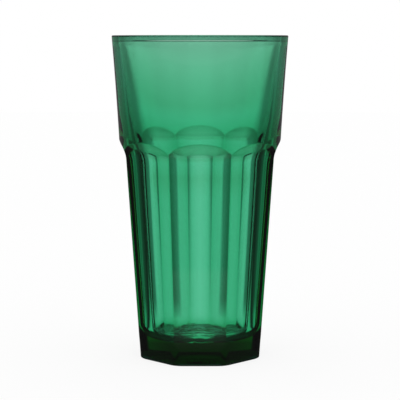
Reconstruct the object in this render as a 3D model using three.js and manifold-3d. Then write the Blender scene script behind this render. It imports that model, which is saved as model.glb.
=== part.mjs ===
// Pressed glass tumbler for iced tea: a plain, slightly flared drinking band over eight flat panels,
// with a round cavity, a heavy foot and a shallow recess under it.
// Millimetres, +Z up. It stands on z = 0 with its axis on Z, and one panel faces -Y.

import * as THREE from 'three';
import { mergeVertices } from 'three/addons/utils/BufferGeometryUtils.js';
import Module from 'manifold-3d';

// Overall size
const height = 160;

// Drinking band, from the points between the panel tops up to the lip
const rimRadius = 43.6;
const bandFootRadius = 39.85;
const bandFootHeight = 102;
const bandFlare = 0.4;
const rimWall = 3.3;

// Lip: a small round outside, and a taller easing down to the bore inside
const lipRound = 0.55;
const lipHeight = 3;

// Panels: flat below, then a concave fillet and a sloped cove that runs out into the band
const panelCount = 8;
const panelFootApothem = 29.55;
const panelLean = THREE.MathUtils.degToRad(3.75);
const panelTop = 103.4;
const coveLean = THREE.MathUtils.degToRad(36);
const coveFillet = 12;
const heelRadius = 0.8;

// Cavity: a gently tapered lower bore, a soft inner shoulder and a wider upper bore
const baseThickness = 10.3;
const floorRadius = 25.2;
const floorCorner = 6.5;
const innerShoulderFoot = new THREE.Vector2(30.75, 92);
const innerShoulderTop = new THREE.Vector2(35.4, 122);

// Recess under the foot, inside the ring that it stands on
const recessRadius = 20.5;
const recessDepth = 1.6;

// Facets: steps round the axis, along a straight or gently curved wall, and along a small arc
const roundSteps = 96;
const wallSteps = 8;
const arcSteps = 6;

const wasm = await Module();
wasm.setup();

const point = (start, direction, length) => start.clone().addScaledVector(direction, length);
const leaning = (angle) => new THREE.Vector2(Math.sin(angle), Math.cos(angle));
const outwardFrom = (angle) => new THREE.Vector2(Math.cos(angle), -Math.sin(angle));

// Centre of an arc that rounds the corner between a level floor and a wall leaning outwards from it
function cornerCentre(wallRadius, floorHeight, lean, radius) {
  const inset = radius * (1 - Math.sin(lean)) / Math.cos(lean);
  return new THREE.Vector2(wallRadius - inset, floorHeight + radius);
}

// Points of a path, with each curve divided by its own kind and no point repeated
function outlinePoints(path) {
  const points = [path.curves[0].getPoint(0)];
  for (const curve of path.curves) {
    const small = curve instanceof THREE.EllipseCurve;
    const steps = curve instanceof THREE.LineCurve ? 1 : small ? arcSteps : wallSteps;
    points.push(...curve.getPoints(steps).slice(1));
  }
  return points.filter((p, i) => i === 0 || p.distanceTo(points[i - 1]) > 1e-6);
}

function toManifold(geometry) {
  const bare = geometry.clone();
  bare.deleteAttribute('normal');
  bare.deleteAttribute('uv');
  const merged = mergeVertices(bare, 1e-5);
  const triVerts = [];
  for (let i = 0; i < merged.index.count; i += 3) {
    const [a, b, c] = [0, 1, 2].map((k) => merged.index.getX(i + k));
    if (a !== b && b !== c && c !== a) triVerts.push(a, b, c);
  }
  return new wasm.Manifold(new wasm.Mesh({
    numProp: 3,
    vertProperties: Float32Array.from(merged.attributes.position.array),
    triVerts: Uint32Array.from(triVerts),
  }));
}

function toGeometry(solid) {
  const mesh = solid.getMesh();
  const geometry = new THREE.BufferGeometry();
  geometry.setAttribute('position', new THREE.BufferAttribute(mesh.vertProperties, 3));
  geometry.setIndex(new THREE.BufferAttribute(mesh.triVerts, 1));
  const faceted = geometry.toNonIndexed();
  faceted.computeVertexNormals();
  return faceted;
}

// The round blank: foot, drinking band, lip and cavity as one revolved outline
function roundBlank() {
  const bandTop = height - lipRound;
  const lipFoot = height - lipHeight;
  const lipCrest = rimRadius - lipRound;
  const boreRim = rimRadius - rimWall;
  const boreLean = Math.atan2(innerShoulderFoot.x - floorRadius, innerShoulderFoot.y - baseThickness);
  const upperWall = new THREE.Vector2(boreRim, lipFoot).sub(innerShoulderTop).normalize();
  const corner = cornerCentre(floorRadius, baseThickness, boreLean, floorCorner);
  const handle = innerShoulderTop.distanceTo(innerShoulderFoot) / 3;
  const topHandle = point(innerShoulderTop, upperWall, -handle);
  const footHandle = point(innerShoulderFoot, leaning(boreLean), handle);
  const bandControl = new THREE.Vector2(
    (bandFootRadius + rimRadius) / 2 - bandFlare,
    (bandFootHeight + bandTop) / 2,
  );

  const outline = new THREE.Path();
  outline.moveTo(0, recessDepth);
  outline.quadraticCurveTo(recessRadius / 2, recessDepth, recessRadius, 0);
  outline.lineTo(bandFootRadius, 0);
  outline.lineTo(bandFootRadius, bandFootHeight);
  outline.quadraticCurveTo(bandControl.x, bandControl.y, rimRadius, bandTop);
  outline.absarc(lipCrest, bandTop, lipRound, 0, Math.PI / 2, false);
  outline.absellipse(lipCrest, lipFoot, rimWall - lipRound, lipHeight, Math.PI / 2, Math.PI, false);
  outline.lineTo(innerShoulderTop.x, innerShoulderTop.y);
  outline.bezierCurveTo(
    topHandle.x, topHandle.y, footHandle.x, footHandle.y, innerShoulderFoot.x, innerShoulderFoot.y,
  );
  outline.absarc(corner.x, corner.y, floorCorner, -boreLean, -Math.PI / 2, true);
  outline.lineTo(0, baseThickness);

  const blank = new THREE.LatheGeometry(outlinePoints(outline), roundSteps);
  blank.rotateX(Math.PI / 2);
  return blank;
}

// What is cut away outside one panel: its outline runs round the heel, up the flat and out along the cove
function panelCutter() {
  const alongPanel = leaning(panelLean);
  const alongCove = leaning(coveLean);
  const heel = cornerCentre(panelFootApothem, 0, panelLean, heelRadius);
  const crease = new THREE.Vector2(panelFootApothem + panelTop * Math.tan(panelLean), panelTop);
  const filletReach = coveFillet * Math.tan((coveLean - panelLean) / 2);
  const filletStart = point(crease, alongPanel, -filletReach);
  const filletCentre = point(filletStart, outwardFrom(panelLean), coveFillet);
  const widest = Math.max(rimRadius, bandFootRadius);
  const clear = widest + heelRadius;
  const runOut = point(crease, alongCove, (clear - crease.x) / alongCove.x);

  const outline = new THREE.Path();
  outline.moveTo(clear, runOut.y);
  outline.lineTo(clear, -heelRadius);
  outline.lineTo(heel.x, -heelRadius);
  outline.lineTo(heel.x, 0);
  outline.absarc(heel.x, heel.y, heelRadius, -Math.PI / 2, -panelLean, false);
  outline.lineTo(filletStart.x, filletStart.y);
  outline.absarc(
    filletCentre.x, filletCentre.y, coveFillet, Math.PI - panelLean, Math.PI - coveLean, true,
  );
  outline.lineTo(runOut.x, runOut.y);

  const cutter = new THREE.ExtrudeGeometry(new THREE.Shape(outlinePoints(outline).reverse()), {
    depth: 2 * widest,
    bevelEnabled: false,
  });
  cutter.translate(0, 0, -widest);
  cutter.rotateX(Math.PI / 2);
  return cutter;
}

function tumbler() {
  const cutter = toManifold(panelCutter());
  const cutters = Array.from({ length: panelCount }, (_, i) => cutter.rotate([0, 0, i * 360 / panelCount]));
  const body = toManifold(roundBlank()).subtract(wasm.Manifold.union(cutters));
  const greenGlass = new THREE.MeshStandardMaterial({
    name: 'green_glass',
    color: 0x2f9a6a,
    roughness: 0.05,
    metalness: 0,
    transparent: true,
    opacity: 0.6,
  });
  const mesh = new THREE.Mesh(toGeometry(body), greenGlass);
  mesh.name = 'tumbler';
  return mesh;
}

const group = new THREE.Group();
group.add(tumbler());

export default group;
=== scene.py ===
# A pressed green glass tumbler for iced tea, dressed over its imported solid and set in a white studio.
# Metres, +Z up. The glass stands on z = 0 with its axis on Z, and one panel faces the camera at -Y.

import math

import bpy
import numpy as np
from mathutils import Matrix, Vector


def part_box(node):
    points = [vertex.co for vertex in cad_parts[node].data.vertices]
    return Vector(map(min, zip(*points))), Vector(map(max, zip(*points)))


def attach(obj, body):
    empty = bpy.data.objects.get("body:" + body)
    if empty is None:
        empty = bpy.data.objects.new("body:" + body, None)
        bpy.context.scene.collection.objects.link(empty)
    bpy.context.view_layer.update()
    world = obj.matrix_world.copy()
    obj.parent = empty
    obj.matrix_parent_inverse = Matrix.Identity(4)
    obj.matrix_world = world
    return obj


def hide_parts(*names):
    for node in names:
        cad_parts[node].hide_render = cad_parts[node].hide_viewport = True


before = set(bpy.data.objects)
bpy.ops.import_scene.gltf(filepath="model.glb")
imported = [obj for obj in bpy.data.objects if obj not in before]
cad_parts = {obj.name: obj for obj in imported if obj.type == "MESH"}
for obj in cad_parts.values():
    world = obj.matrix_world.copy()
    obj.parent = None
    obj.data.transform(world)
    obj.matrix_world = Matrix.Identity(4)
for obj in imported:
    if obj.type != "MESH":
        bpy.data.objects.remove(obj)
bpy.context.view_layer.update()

MM = 0.001

# The solid that the glass is dressed over
_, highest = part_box("tumbler")
HEIGHT = highest[2]
RIM_RADIUS = highest[0]

# Drinking band
BAND_FOOT_RADIUS = 39.85 * MM
BAND_FOOT_HEIGHT = 102 * MM
BAND_FLARE = 0.4 * MM
RIM_WALL = 3.3 * MM

# Lip: a small round outside, and a low crest that drops to the bore inside
LIP_ROUND = 0.55 * MM
LIP_HEIGHT = 3 * MM
LIP_CREST = 0.8 * MM

# Panels, with the cove that runs out into the band
PANELS = 8
PANEL_FOOT_APOTHEM = 29.55 * MM
PANEL_LEAN = math.radians(3.75)
PANEL_TOP = 103.4 * MM
COVE_LEAN = math.radians(36)
COVE_FILLET = 12 * MM
HEEL_RADIUS = 0.8 * MM

# Ridges, arches and the corners of the foot, softened by the mould
RIDGE_ROUNDING = 1.2 * MM
ARCH_ROUNDING = 1.2 * MM
HEEL_CORNER_ROUNDING = 9 * MM
HEEL_CORNER_TOP = 2.6 * MM

# Cavity
BASE_THICKNESS = 10.3 * MM
FLOOR_RADIUS = 25.2 * MM
FLOOR_CORNER = 6.5 * MM
SHOULDER_FOOT = Vector((30.75, 92)) * MM
SHOULDER_TOP = Vector((35.4, 122)) * MM

# Recess under the foot
RECESS_RADIUS = 20.5 * MM
RECESS_DEPTH = 1.6 * MM

# Columns round the glass, drawn together at the ridges by this share
COLUMNS_PER_PANEL = 36
COLUMN_GATHER = 0.75
MERGE_DISTANCE = 0.002 * MM

# Points up the outside, close together from just below the cove to well above the arches
FLAT_POINTS = 10
ARCH_POINTS = 44
BAND_POINTS = 16
COVE_MARGIN = 1 * MM
ARCH_MARGIN = 9 * MM

# Steps along the other stretches of the section
RECESS_STEPS = 12
RING_STEPS = 8
HEEL_STEPS = 8
LIP_STEPS = 8
CREST_STEPS = 14
LIP_SIDE_STEPS = 6
UPPER_BORE_STEPS = 12
SHOULDER_STEPS = 28
LOWER_BORE_STEPS = 10
CORNER_STEPS = 14
FLOOR_STEPS = 8

# Green glass: how strongly it bends light, and the colour that it takes out of it
GLASS_INDEX = 1.517
GLASS_TINT = (0.0, 0.743, 0.508, 1.0)
GLASS_DENSITY = 248.0

# A slight ripple and haze all over
RIPPLE_SCALE = 70.0
RIPPLE_DETAIL = 1.0
RIPPLE_RISE = 0.012 * MM
HAZE_SCALE = 220.0
HAZE_DETAIL = 4.0
HAZE_ROUGHNESS = 0.02

# Waves that the plunger leaves on the floor of the cavity
WAVE_STARTS = 0.5 * BASE_THICKNESS
WAVE_FULL = 0.8 * BASE_THICKNESS
WAVE_TOP = 15 * MM
WAVE_SCALE = 130.0
WAVE_DETAIL = 1.0
WAVE_MIDDLE = 0.5
WAVE_RISE = 2 * MM

# A faint bead below the lip, left by the fire that polished it. Painted shade darkens a line at the
# bead's foot, the lip and its crest
BEAD_HEIGHT = 157.8 * MM
BEAD_HALF = 0.9 * MM
BEAD_RISE = 0.013 * MM
BEAD_FOOT = 157.1 * MM
BEAD_LINE = 0.4 * MM
BEAD_LINE_PAINTED_SHADE = 0.7
LIP_PAINTED_SHADE = 0.2
CREST_PAINTED_SHADE = 0.5
LIP_OUTSIDE_STARTS = RIM_RADIUS - 0.6 * RIM_WALL
LIP_OUTSIDE_ENDS = RIM_RADIUS - 0.4 * RIM_WALL

# The foot's outside, darkened by painted shade
FOOT_PAINTED_SHADE = 0.7
FOOT_PAINTED_SHADE_FULL = 3.6 * MM
FOOT_PAINTED_SHADE_TOP = 6 * MM
FOOT_OUTSIDE_STARTS = 0.9 * PANEL_FOOT_APOTHEM
FOOT_OUTSIDE_ENDS = 0.95 * PANEL_FOOT_APOTHEM

# Studio: white sweeps square to the panels, with dim gaps between
SWEEP_BACK = 1.1
SWEEP_HALF = 0.268
SWEEP_WIDENING = 0.815
SWEEP_SOFT = 0.1
SWEEP_SOFT_MOST = 0.042
SIDE_WIDTH = 0.42
GAP_LEVEL = 0.5
DIAGONAL_LEVEL = 0.4
DIAGONAL_WIDTH = 0.35

# The table top, with its white paint and the share of the shadow that the camera doesn't see
TABLE_SPREAD = 2.4
TABLE_SIDES = 96
TABLE_PAINT = (0.95, 0.95, 0.95, 1.0)
SHADOW_FADE = 0.85

# Close behind the glass the table is white all over
FILL_STARTS = 0.06
FILL_ENDS = 0.155
FILL_SIDE_STARTS = 0.4
FILL_SIDE_ENDS = 0.7

# The table gets dimmer and a little yellower away from the glass
DIM_STARTS = 0.66
DIM_ENDS = 0.95
DIM_LEVEL = 0.85
FAR_STARTS = 1.5
FAR_ENDS = 2.2
FAR_LEVEL = 0.72
FAR_BLUE = 0.93

# The table under the foot, which gets little light outside the recess
RECESS_LEVEL = 1.0
RECESS_ENDS = 0.0115
RING_STARTS = 0.016
RING_LEVEL = 0.05
RING_ENDS = 0.027
OPEN_STARTS = 0.036

# The wall behind the table and the ceiling, by the upward part of a direction
WALL_HALF = 0.29
WALL_SOFT = 0.15
WALL_STARTS = -0.02
WALL_ENDS = 0.06
WALL_LEVEL = 0.78
DIAGONAL_WALL = 0.85
CEILING_STARTS = 0.15
CEILING_ENDS = 0.25
CEILING_LEVEL = 0.73

# What the gloss shows: a dim room with a paler back, the table near the glass and a lamp in front
ROOM_LEVEL = 0.08
BACK_SHEEN = 0.05
BACK_STARTS = 0.4
BACK_ENDS = 0.95
NEAR_SHEEN = 0.2
NEAR_SHEEN_START = 0.08
NEAR_SHEEN_FULL = 0.18
NEAR_SHEEN_END = 0.2
LAMP_LEVEL = 0.43
LAMP_FOOT = math.sin(math.radians(3))
LAMP_FOOT_FULL = 2 * LAMP_FOOT
LAMP_TOP_FULL = math.sin(math.radians(30))
LAMP_TOP = 1.2 * LAMP_TOP_FULL
LAMP_SIDE_FULL = -0.5
LAMP_SIDE = -0.3

# Camera, fitted to the rim, the foot and the sides
CAMERA_PLACE = Vector((0, -691.7, 157.8)) * MM
CAMERA_AIM = Vector((0, 0, 78.1)) * MM
CAMERA_LENS = 125.1
CAMERA_SENSOR = 36
CAMERA_SIGHT = 20

# How often light may pass or bounce in the glass
GLASS_BOUNCES = 32
GLOSS_BOUNCES = 16


def leaning(angle):
    return Vector((math.sin(angle), math.cos(angle)))


def outward_from(angle):
    return Vector((math.cos(angle), -math.sin(angle)))


def corner_centre(wall_radius, floor_height, lean, radius):
    inset = radius * (1 - math.sin(lean)) / math.cos(lean)
    return Vector((wall_radius - inset, floor_height + radius))


def straight(start, end, steps):
    return [start.lerp(end, i / steps) for i in range(steps + 1)]


def arc(centre, radius_across, radius_up, start, end, steps):
    turns = [start + (end - start) * i / steps for i in range(steps + 1)]
    return [centre + Vector((radius_across * math.cos(t), radius_up * math.sin(t))) for t in turns]


def quadratic(start, pull, end, steps):
    curve = []
    for i in range(steps + 1):
        t = i / steps
        curve.append(start * (1 - t) ** 2 + pull * 2 * t * (1 - t) + end * t ** 2)
    return curve


def cubic(start, pull_a, pull_b, end, steps):
    curve = []
    for i in range(steps + 1):
        t = i / steps
        near = start * (1 - t) ** 3 + pull_a * 3 * t * (1 - t) ** 2
        far = pull_b * 3 * t ** 2 * (1 - t) + end * t ** 3
        curve.append(near + far)
    return curve


def softening_reach(rounding, half_turn):
    """How close two walls come before their corner is rounded, from its radius and half its turn."""
    return 4 * rounding * (1 / math.cos(half_turn) - 1)


def softer_of(a, b, reach):
    """The smaller of two radii, with the corner where they cross rounded over."""
    share = np.maximum(reach - np.abs(a - b), 0) / reach
    return np.minimum(a, b) - share ** 2 * reach / 4


# Heel and cove of the panel's section
HEEL_CENTRE = corner_centre(PANEL_FOOT_APOTHEM, 0, PANEL_LEAN, HEEL_RADIUS)
HEEL_TOP = HEEL_CENTRE + outward_from(PANEL_LEAN) * HEEL_RADIUS
CREASE = Vector((PANEL_FOOT_APOTHEM + PANEL_TOP * math.tan(PANEL_LEAN), PANEL_TOP))
FILLET_REACH = COVE_FILLET * math.tan((COVE_LEAN - PANEL_LEAN) / 2)
FILLET_START = CREASE - leaning(PANEL_LEAN) * FILLET_REACH
FILLET_END = CREASE + leaning(COVE_LEAN) * FILLET_REACH
FILLET_CENTRE = FILLET_START + outward_from(PANEL_LEAN) * COVE_FILLET
LIP_FOOT = HEIGHT - LIP_HEIGHT
BAND_TOP = HEIGHT - LIP_ROUND

# Softened corners between two panels, at the heel, and between a cove and the band
HALF_PANEL = math.pi / PANELS
RIDGE_REACH = softening_reach(RIDGE_ROUNDING, HALF_PANEL)
HEEL_CORNER_REACH = softening_reach(HEEL_CORNER_ROUNDING, HALF_PANEL)
ARCH_REACH = softening_reach(ARCH_ROUNDING, (COVE_LEAN - PANEL_LEAN) / 2)


def panel_apothem(z):
    """Distance of the panel's section from the axis: heel, flat, fillet and cove."""
    flat = PANEL_FOOT_APOTHEM + z * math.tan(PANEL_LEAN)
    below = np.clip(HEEL_CENTRE.y - z, 0, HEEL_RADIUS)
    heel = HEEL_CENTRE.x + np.sqrt(HEEL_RADIUS ** 2 - below ** 2)
    rise = np.clip(z - FILLET_CENTRE.y, -COVE_FILLET, COVE_FILLET)
    fillet = FILLET_CENTRE.x - np.sqrt(COVE_FILLET ** 2 - rise ** 2)
    cove = FILLET_END.x + (z - FILLET_END.y) * math.tan(COVE_LEAN)
    upper = np.where(z > FILLET_END.y, cove, fillet)
    lower = np.where(z < HEEL_TOP.y, heel, flat)
    return np.where(z > FILLET_START.y, upper, lower)


def band_radius(z):
    """Radius of the drinking band, a shallow curve that flares to the lip."""
    t = np.clip((z - BAND_FOOT_HEIGHT) / (BAND_TOP - BAND_FOOT_HEIGHT), 0, 1)
    pull = (BAND_FOOT_RADIUS + RIM_RADIUS) / 2 - BAND_FLARE
    return BAND_FOOT_RADIUS * (1 - t) ** 2 + pull * 2 * t * (1 - t) + RIM_RADIUS * t ** 2


def outside_section():
    """Outline through a panel's middle, from the recess under the foot up to the top of the lip."""
    recess_top = Vector((0, RECESS_DEPTH))
    recess_pull = Vector((RECESS_RADIUS / 2, RECESS_DEPTH))
    ring_inside = Vector((RECESS_RADIUS, 0))
    ring_outside = Vector((HEEL_CENTRE.x, 0))
    cove_foot = FILLET_START.y - COVE_MARGIN
    arch_clear = BAND_FOOT_HEIGHT + ARCH_MARGIN
    heights = list(np.linspace(HEEL_TOP.y, cove_foot, FLAT_POINTS))
    heights += list(np.linspace(cove_foot, arch_clear, ARCH_POINTS))[1:]
    heights += list(np.linspace(arch_clear, BAND_TOP, BAND_POINTS))[1:]
    wall = [
        Vector((float(softer_of(panel_apothem(z), band_radius(z), ARCH_REACH)), z)) for z in heights
    ]
    lip_centre = Vector((RIM_RADIUS - LIP_ROUND, BAND_TOP))
    section = quadratic(recess_top, recess_pull, ring_inside, RECESS_STEPS)
    section += straight(ring_inside, ring_outside, RING_STEPS)[1:]
    section += arc(HEEL_CENTRE, HEEL_RADIUS, HEEL_RADIUS, -math.pi / 2, -PANEL_LEAN, HEEL_STEPS)[1:]
    section += wall[1:]
    section += arc(lip_centre, LIP_ROUND, LIP_ROUND, 0, math.pi / 2, LIP_STEPS)[1:]
    return section


def inside_section():
    """Outline of the cavity, from the top of the lip down to the middle of the floor."""
    bore_rim = Vector((RIM_RADIUS - RIM_WALL, LIP_FOOT))
    lip_centre = Vector((RIM_RADIUS - LIP_ROUND, HEIGHT - LIP_CREST))
    crest_foot = Vector((bore_rim.x, lip_centre.y))
    lower_lean = math.atan2(SHOULDER_FOOT.x - FLOOR_RADIUS, SHOULDER_FOOT.y - BASE_THICKNESS)
    handle = (SHOULDER_TOP - SHOULDER_FOOT).length / 3
    top_pull = SHOULDER_TOP - (bore_rim - SHOULDER_TOP).normalized() * handle
    foot_pull = SHOULDER_FOOT + leaning(lower_lean) * handle
    corner = corner_centre(FLOOR_RADIUS, BASE_THICKNESS, lower_lean, FLOOR_CORNER)
    corner_top = corner + outward_from(lower_lean) * FLOOR_CORNER
    floor_edge = Vector((corner.x, BASE_THICKNESS))
    floor_middle = Vector((0, BASE_THICKNESS))
    section = arc(lip_centre, RIM_WALL - LIP_ROUND, LIP_CREST, math.pi / 2, math.pi, CREST_STEPS)
    section += straight(crest_foot, bore_rim, LIP_SIDE_STEPS)[1:]
    section += straight(bore_rim, SHOULDER_TOP, UPPER_BORE_STEPS)[1:]
    section += cubic(SHOULDER_TOP, top_pull, foot_pull, SHOULDER_FOOT, SHOULDER_STEPS)[1:]
    section += straight(SHOULDER_FOOT, corner_top, LOWER_BORE_STEPS)[1:]
    section += arc(corner, FLOOR_CORNER, FLOOR_CORNER, -lower_lean, -math.pi / 2, CORNER_STEPS)[1:]
    section += straight(floor_edge, floor_middle, FLOOR_STEPS)[1:]
    return section


def spun_blank(name):
    """The section drawn point by point, then spun once round the axis."""
    bpy.ops.object.select_all(action="DESELECT")
    section = outside_section() + inside_section()[1:]
    start = section[0]
    bpy.ops.mesh.primitive_plane_add(size=MM, location=(start.x, 0, start.y))
    blank = bpy.context.object
    blank.name = name
    bpy.ops.object.transform_apply(location=True, rotation=True, scale=True)
    bpy.ops.object.mode_set(mode="EDIT")
    bpy.ops.mesh.select_all(action="SELECT")
    bpy.ops.mesh.merge(type="CENTER")
    for here, there in zip(section, section[1:]):
        step = (there.x - here.x, 0, there.y - here.y)
        bpy.ops.mesh.extrude_region_move(TRANSFORM_OT_translate={"value": step})
    bpy.ops.mesh.select_all(action="SELECT")
    bpy.ops.mesh.spin(
        steps=PANELS * COLUMNS_PER_PANEL, angle=math.tau, center=(0, 0, 0), axis=(0, 0, 1)
    )
    bpy.ops.mesh.select_all(action="SELECT")
    bpy.ops.mesh.remove_doubles(threshold=MERGE_DISTANCE)
    bpy.ops.mesh.normals_make_consistent(inside=False)
    bpy.ops.object.mode_set(mode="OBJECT")
    return blank


def draw_out_ridges(glass):
    """Gathers the columns at the ridges and draws the round blank out to eight panels."""
    mesh = glass.data
    flat = np.empty(len(mesh.vertices) * 3)
    mesh.vertices.foreach_get("co", flat)
    place = flat.reshape(-1, 3)
    radius = np.hypot(place[:, 0], place[:, 1])
    bearing = np.arctan2(place[:, 1], place[:, 0])
    z = place[:, 2]
    bearing = bearing + COLUMN_GATHER / PANELS * np.sin(PANELS * bearing)
    off_middle = np.abs((bearing + HALF_PANEL) % (2 * HALF_PANEL) - HALF_PANEL)

    here = 1 / np.cos(off_middle)
    next_door = 1 / np.cos(2 * HALF_PANEL - off_middle)
    apothem = panel_apothem(z)
    low_share = 1 - np.clip(z / HEEL_CORNER_TOP, 0, 1)
    reach = RIDGE_REACH + (HEEL_CORNER_REACH - RIDGE_REACH) * low_share ** 2
    pressed = softer_of(apothem * here, apothem * next_door, reach)
    wall = softer_of(pressed, band_radius(z), ARCH_REACH)
    wall_middle = softer_of(apothem, band_radius(z), ARCH_REACH)
    on_wall = (radius > wall_middle - LIP_ROUND / 2) & (z < BAND_TOP)
    ring_share = np.clip((radius - RECESS_RADIUS) / (HEEL_CENTRE.x - RECESS_RADIUS), 0, 1)
    spread = pressed / apothem
    under = (z < RECESS_DEPTH) & ~on_wall
    new_radius = np.where(on_wall, wall, radius)
    new_radius = np.where(under, radius * (1 + ring_share * (spread - 1)), new_radius)

    place[:, 0] = new_radius * np.cos(bearing)
    place[:, 1] = new_radius * np.sin(bearing)
    mesh.vertices.foreach_set("co", place.ravel())
    mesh.update()


class Field:
    """A shader value: Python arithmetic on it adds the Math nodes."""

    def __init__(self, tree, socket):
        self.tree = tree
        self.socket = socket

    def math(self, operation, *values):
        made = self.tree.nodes.new("ShaderNodeMath")
        made.operation = operation
        for slot, value in zip(made.inputs, values):
            put(self.tree, slot, value)
        return Field(self.tree, made.outputs[0])

    def __add__(self, other):
        return self.math("ADD", self, other)

    def __radd__(self, other):
        return self.math("ADD", other, self)

    def __sub__(self, other):
        return self.math("SUBTRACT", self, other)

    def __rsub__(self, other):
        return self.math("SUBTRACT", other, self)

    def __mul__(self, other):
        return self.math("MULTIPLY", self, other)

    def __rmul__(self, other):
        return self.math("MULTIPLY", other, self)

    def __truediv__(self, other):
        return self.math("DIVIDE", self, other)

    def node(self, kind, settings=None, output=0, **sockets):
        return add_node(self.tree, kind, settings, output, **sockets)


def put(tree, slot, value):
    """Sets a socket, or links it where the value is a field."""
    if isinstance(value, Field):
        tree.links.new(value.socket, slot)
    else:
        slot.default_value = value


def add_node(tree, kind, settings=None, output=0, **sockets):
    """One node of any kind, its settings first and then the values or links of its sockets."""
    made = tree.nodes.new(kind)
    for name, value in (settings or {}).items():
        setattr(made, name, value)
    for name, value in sockets.items():
        put(tree, made.inputs[name.replace("_", " ")], value)
    return Field(tree, made.outputs[output]) if len(made.outputs) else None


def new_material(name):
    made = bpy.data.materials.new(name)
    made.use_nodes = True
    made.node_tree.nodes.clear()
    return made


def compass(tree, coordinate):
    """The three components of a place or direction."""
    split = tree.nodes.new("ShaderNodeSeparateXYZ")
    put(tree, split.inputs[0], add_node(tree, "ShaderNodeTexCoord", output=coordinate))
    return [Field(tree, split.outputs[axis]) for axis in "XYZ"]


def distance(across, along):
    """How far a place is from the axis."""
    return across.math("SQRT", across * across + along * along)


def eased(value, start, end, low=0.0, high=1.0):
    """A soft step from low to high as the value goes from start to end."""
    return value.node(
        "ShaderNodeMapRange",
        {"interpolation_type": "SMOOTHSTEP"},
        Value=value,
        From_Min=start,
        From_Max=end,
        To_Min=low,
        To_Max=high,
    )


def hump(value, middle, half):
    """One at the middle, and nought half a width or more to either side."""
    return eased(value, middle - half, middle) * eased(value, middle, middle + half, 1.0, 0.0)


def cloudy(place, scale, detail):
    """Soft noise that fills the glass."""
    return place.node("ShaderNodeTexNoise", output="Fac", Vector=place, Scale=scale, Detail=detail)


def raised(height, rise, **under):
    """The surface raised by a height, over the normal of what is under it."""
    return height.node("ShaderNodeBump", Height=height, Strength=1.0, Distance=rise, **under)


def tinted(level, blue):
    """A white of this level, with its blue held back."""
    return level.node("ShaderNodeCombineColor", Red=level, Green=level, Blue=level * blue)


def painted_glass_shade(from_axis, up, lip_outside):
    """Painted shade in the glass's colour: a darker line below the bead, a darker lip and crest, and a
    darker outside of the foot.
    """
    # painted shade: the darker line at the bead's foot, on the outside of the lip only
    line = hump(up, BEAD_FOOT, BEAD_LINE) * lip_outside
    # painted shade on the outside of the foot, darkening the base
    foot = eased(up, FOOT_PAINTED_SHADE_FULL, FOOT_PAINTED_SHADE_TOP, FOOT_PAINTED_SHADE, 0.0)
    foot = foot * eased(from_axis, FOOT_OUTSIDE_STARTS, FOOT_OUTSIDE_ENDS)
    # painted shade over the lip, and more over its crest
    lip = eased(up, BEAD_FOOT, BEAD_FOOT + BEAD_LINE, 0.0, LIP_PAINTED_SHADE)
    crest = eased(up, BAND_TOP - LIP_ROUND, BAND_TOP, 0.0, CREST_PAINTED_SHADE)
    # what the painted shade leaves of the glass's colour
    clear = (1 - BEAD_LINE_PAINTED_SHADE * line) * (1 - foot) * (1 - lip) * (1 - crest)
    return clear.node("ShaderNodeCombineColor", Red=clear, Green=clear, Blue=clear)


def floor_waves(place, from_axis, up):
    """Waves on the floor of the cavity, gone before they reach the outside or the recess."""
    floor = eased(up, WAVE_STARTS, WAVE_FULL) * eased(up, BASE_THICKNESS, WAVE_TOP, 1.0, 0.0)
    floor = floor * eased(from_axis, FLOOR_RADIUS, PANEL_FOOT_APOTHEM, 1.0, 0.0)
    return (cloudy(place, WAVE_SCALE, WAVE_DETAIL) - WAVE_MIDDLE) * floor


def green_glass():
    """Clear glass coloured right through, so that it deepens with thickness."""
    made = new_material("green_glass")
    tree = made.node_tree
    place = add_node(tree, "ShaderNodeTexCoord", output="Object")
    across, along, up = compass(tree, "Object")
    from_axis = distance(across, along)
    lip_outside = eased(from_axis, LIP_OUTSIDE_STARTS, LIP_OUTSIDE_ENDS)
    normal = raised(cloudy(place, RIPPLE_SCALE, RIPPLE_DETAIL), RIPPLE_RISE)
    normal = raised(hump(up, BEAD_HEIGHT, BEAD_HALF) * lip_outside, BEAD_RISE, Normal=normal)
    normal = raised(floor_waves(place, from_axis, up), WAVE_RISE, Normal=normal)
    glass = add_node(
        tree,
        "ShaderNodeBsdfPrincipled",
        # the base colour carries the painted shade of the lip, the bead's line and the foot
        Base_Color=painted_glass_shade(from_axis, up, lip_outside),
        Roughness=HAZE_ROUGHNESS * cloudy(place, HAZE_SCALE, HAZE_DETAIL),
        IOR=GLASS_INDEX,
        Transmission_Weight=1.0,
        Normal=normal,
    )
    tint = add_node(tree, "ShaderNodeVolumeAbsorption", Color=GLASS_TINT, Density=GLASS_DENSITY)
    add_node(tree, "ShaderNodeOutputMaterial", Surface=glass, Volume=tint)
    return made


def tumbler():
    glass = spun_blank("glass_tumbler")
    draw_out_ridges(glass)
    bpy.ops.object.shade_smooth()
    glass.data.materials.append(green_glass())
    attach(glass, "root")
    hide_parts("tumbler")


def rays_seen(tree):
    """One for the rays through the glass, for those off its gloss, and for the camera's own."""
    rays = tree.nodes.new("ShaderNodeLightPath")
    in_glass = Field(tree, rays.outputs["Is Transmission Ray"])
    in_gloss = Field(tree, rays.outputs["Is Glossy Ray"]) * (1 - in_glass)
    in_view = Field(tree, rays.outputs["Is Camera Ray"])
    return in_glass, in_gloss, in_view


def inside_sweep(bearing, reach, half, soft):
    """One in the middle of four sweeps at right angles, nought between them."""
    turn = bearing.math("WRAP", bearing, math.pi / 4, -math.pi / 4)
    aside = bearing.math("ABSOLUTE", bearing.math("SINE", turn)) * reach
    return eased((aside - half) / soft, -1.0, 1.0, 1.0, 0.0)


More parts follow.
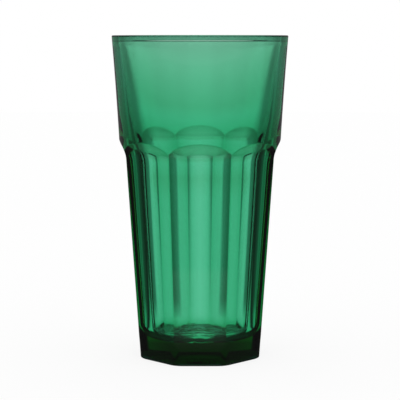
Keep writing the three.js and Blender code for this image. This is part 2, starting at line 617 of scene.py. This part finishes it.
def sweep_light(bearing, reach, half, soft, diagonal_level):
    """White sweeps all round, seen at a distance from the axis."""
    facing = bearing.math("COSINE", bearing)
    facing = facing * facing
    square = inside_sweep(bearing, reach, (SIDE_WIDTH + (1 - SIDE_WIDTH) * facing) * half, soft)
    diagonal = inside_sweep(bearing + math.pi / 4, reach, DIAGONAL_WIDTH * half, soft)
    gap = GAP_LEVEL * facing
    gap = gap.math("MAXIMUM", gap, diagonal * diagonal_level)
    return gap + (1 - gap) * square


def room_sheen(facing):
    """The dim room that the gloss shows, paler behind the glass."""
    return ROOM_LEVEL + eased(facing, BACK_STARTS, BACK_ENDS, 0.0, BACK_SHEEN)


def table_sweeps(away, bearing, facing):
    """The table as the glass shows it, from the dark under its foot to the wall."""
    reach = away.math("MINIMUM", away, SWEEP_BACK)
    sweep_most = SWEEP_HALF * SWEEP_BACK ** SWEEP_WIDENING
    half = SWEEP_HALF * away.math("POWER", reach, SWEEP_WIDENING)
    half = half + eased(away, FAR_STARTS, FAR_ENDS, 0.0, WALL_HALF - sweep_most)
    soft = away.math("MINIMUM", SWEEP_SOFT * away, SWEEP_SOFT_MOST)
    soft = soft + eased(away, FAR_STARTS, FAR_ENDS, 0.0, WALL_SOFT - SWEEP_SOFT_MOST)
    diagonal_level = eased(away, DIM_STARTS, FAR_ENDS, DIAGONAL_LEVEL, DIAGONAL_WALL)
    sweep = sweep_light(bearing, reach, half, soft, diagonal_level)
    filled = eased(away, FILL_STARTS, FILL_ENDS, 1.0, 0.0)
    filled = filled * eased(facing, FILL_SIDE_STARTS, FILL_SIDE_ENDS)
    falloff = eased(away, DIM_STARTS, DIM_ENDS, 1.0, DIM_LEVEL)
    falloff = falloff - eased(away, FAR_STARTS, FAR_ENDS, 0.0, DIM_LEVEL - FAR_LEVEL)
    contact = eased(away, RECESS_ENDS, RING_STARTS, RECESS_LEVEL, RING_LEVEL)
    contact = contact + eased(away, RING_ENDS, OPEN_STARTS, 0.0, 1 - RING_LEVEL)
    return (sweep + (1 - sweep) * filled) * falloff * contact


def white_table():
    """White paint for the shadow, and the light that the camera, the glass and its gloss see."""
    made = new_material("white_table")
    tree = made.node_tree
    across, along, _ = compass(tree, "Object")
    away = distance(across, along)
    bearing = across.math("ARCTAN2", across, along)
    facing = bearing.math("COSINE", bearing)
    in_glass, in_gloss, in_view = rays_seen(tree)
    near = eased(away, OPEN_STARTS, NEAR_SHEEN_START)
    near = near * eased(away, NEAR_SHEEN_FULL, NEAR_SHEEN_END, NEAR_SHEEN, 0.0)
    sheen = room_sheen(facing) + near * facing * facing
    shown = table_sweeps(away, bearing, facing) * in_glass + sheen * in_gloss + in_view
    blue = 1 - in_glass * eased(away, DIM_STARTS, DIM_ENDS, 0.0, 1 - FAR_BLUE)
    paint = add_node(tree, "ShaderNodeBsdfDiffuse", Color=TABLE_PAINT)
    glow = add_node(tree, "ShaderNodeEmission", Color=tinted(shown, blue), Strength=1.0)
    mixed = tree.nodes.new("ShaderNodeMixShader")
    put(tree, mixed.inputs[0], in_view * SHADOW_FADE + in_glass + in_gloss)
    put(tree, mixed.inputs[1], paint)
    put(tree, mixed.inputs[2], glow)
    add_node(tree, "ShaderNodeOutputMaterial", Surface=Field(tree, mixed.outputs[0]))
    return made


def studio_floor():
    """A wide white table top, which the glass shows as the foot of the white sweeps."""
    bpy.ops.object.select_all(action="DESELECT")
    bpy.ops.mesh.primitive_circle_add(vertices=TABLE_SIDES, radius=TABLE_SPREAD, fill_type="NGON")
    floor = bpy.context.object
    floor.name = "studio_floor"
    floor.data.materials.append(white_table())


def studio_light():
    """Even white light. Through the glass it shows the sweeps, and in its gloss a dim room."""
    world = bpy.data.worlds.new("white_studio")
    bpy.context.scene.world = world
    world.use_nodes = True
    tree = world.node_tree
    tree.nodes.clear()
    across, along, up = compass(tree, "Generated")
    bearing = across.math("ARCTAN2", across, along)
    facing = bearing.math("COSINE", bearing)
    in_glass, in_gloss, _ = rays_seen(tree)
    wall = eased(up, WALL_STARTS, WALL_ENDS, FAR_LEVEL, WALL_LEVEL)
    ceiling = eased(up, CEILING_STARTS, CEILING_ENDS, 0.0, WALL_LEVEL - CEILING_LEVEL)
    sweep = sweep_light(bearing, SWEEP_BACK, WALL_HALF, WALL_SOFT, DIAGONAL_WALL) * (wall - ceiling)
    lamp = eased(up, LAMP_FOOT, LAMP_FOOT_FULL, 0.0, LAMP_LEVEL)
    lamp = lamp * eased(up, LAMP_TOP_FULL, LAMP_TOP, 1.0, 0.0)
    lamp = lamp * eased(facing, LAMP_SIDE_FULL, LAMP_SIDE, 1.0, 0.0)
    sheen = room_sheen(facing) + lamp
    level = 1 + in_glass * (sweep - 1) + in_gloss * (sheen - 1)
    blue = 1 - in_glass * (1 - FAR_BLUE)
    light = add_node(tree, "ShaderNodeBackground", Color=tinted(level, blue), Strength=1.0)
    add_node(tree, "ShaderNodeOutputWorld", Surface=light)


def camera():
    made = bpy.data.objects.new("photo_camera", bpy.data.cameras.new("photo_camera"))
    bpy.context.scene.collection.objects.link(made)
    made.location = CAMERA_PLACE
    made.rotation_euler = (CAMERA_AIM - CAMERA_PLACE).to_track_quat("-Z", "Y").to_euler()
    made.data.lens = CAMERA_LENS
    made.data.sensor_width = CAMERA_SENSOR
    made.data.clip_end = CAMERA_SIGHT
    bpy.context.scene.camera = made


tumbler()
studio_floor()
studio_light()
camera()

scene = bpy.context.scene
scene.view_settings.view_transform = "Standard"
scene.cycles.max_bounces = GLASS_BOUNCES
scene.cycles.transmission_bounces = GLASS_BOUNCES
scene.cycles.glossy_bounces = GLOSS_BOUNCES
